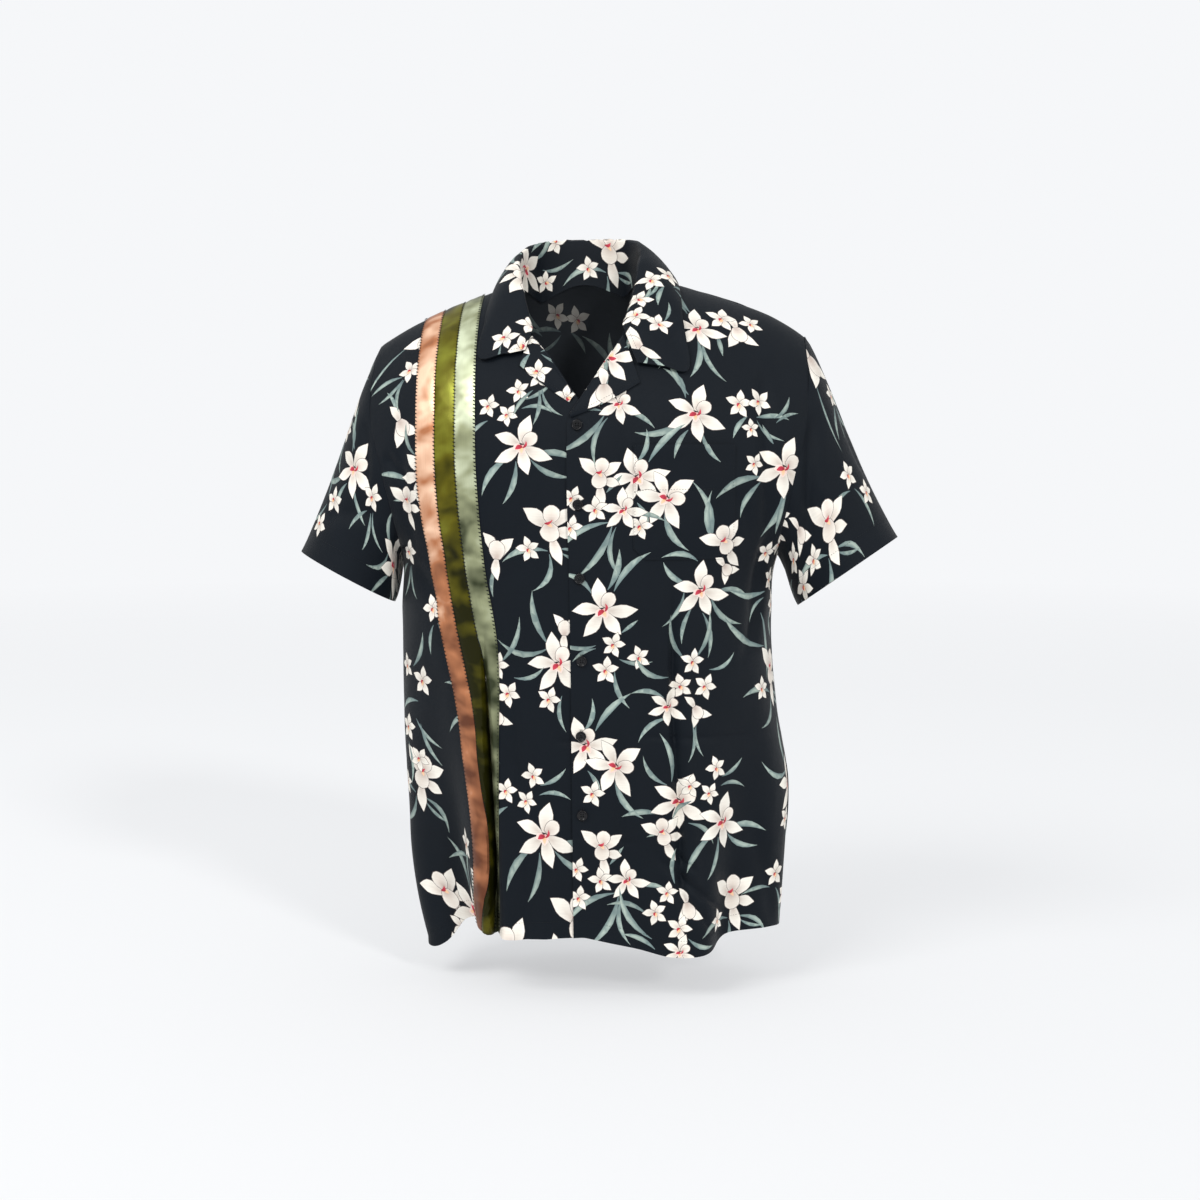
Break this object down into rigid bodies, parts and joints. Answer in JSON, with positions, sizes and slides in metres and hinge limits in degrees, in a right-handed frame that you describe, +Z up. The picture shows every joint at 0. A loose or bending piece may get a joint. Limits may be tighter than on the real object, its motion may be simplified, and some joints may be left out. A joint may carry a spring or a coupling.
{
  "type": "short-sleeved camp-collar ribbon shirt",
  "caption": "Short-sleeved camp-collar shirt in a dark floral print, filled out as when worn, with satin ribbons sewn down the wearer's right front, a patch pocket and a buttoned front.",
  "frame": {"origin": "in the neck opening, between the two neck points and at their mean depth, where the wearer's neck and shoulders hold the shirt", "axes": "+Z up, the front faces -Y, the wearer's right is -X"},
  "size_m": [0.6774, 0.2726, 0.8111],
  "materials": {
    "cloth": "matt woven cloth with a small sheen, charcoal black ground, printed with cream orchids and grey-green leaves",
    "ribbon_peach": "peach satin ribbon",
    "ribbon_olive": "olive satin ribbon",
    "ribbon_sage": "pale sage satin ribbon",
    "button": "glossy black resin"
  },
  "bodies": {
    "root": {"front_right": "cloth", "front_left": "cloth", "back": "cloth", "sleeve_right": "cloth", "sleeve_left": "cloth", "collar": "cloth", "lapel_right": "cloth", "lapel_left": "cloth", "pocket": "cloth", "ribbon_peach": "ribbon_peach", "ribbon_olive": "ribbon_olive", "ribbon_sage": "ribbon_sage", "button_1": "button", "button_2": "button", "button_3": "button", "button_4": "button", "button_5": "button", "button_6": "button"}
  },
  "joints": []
}
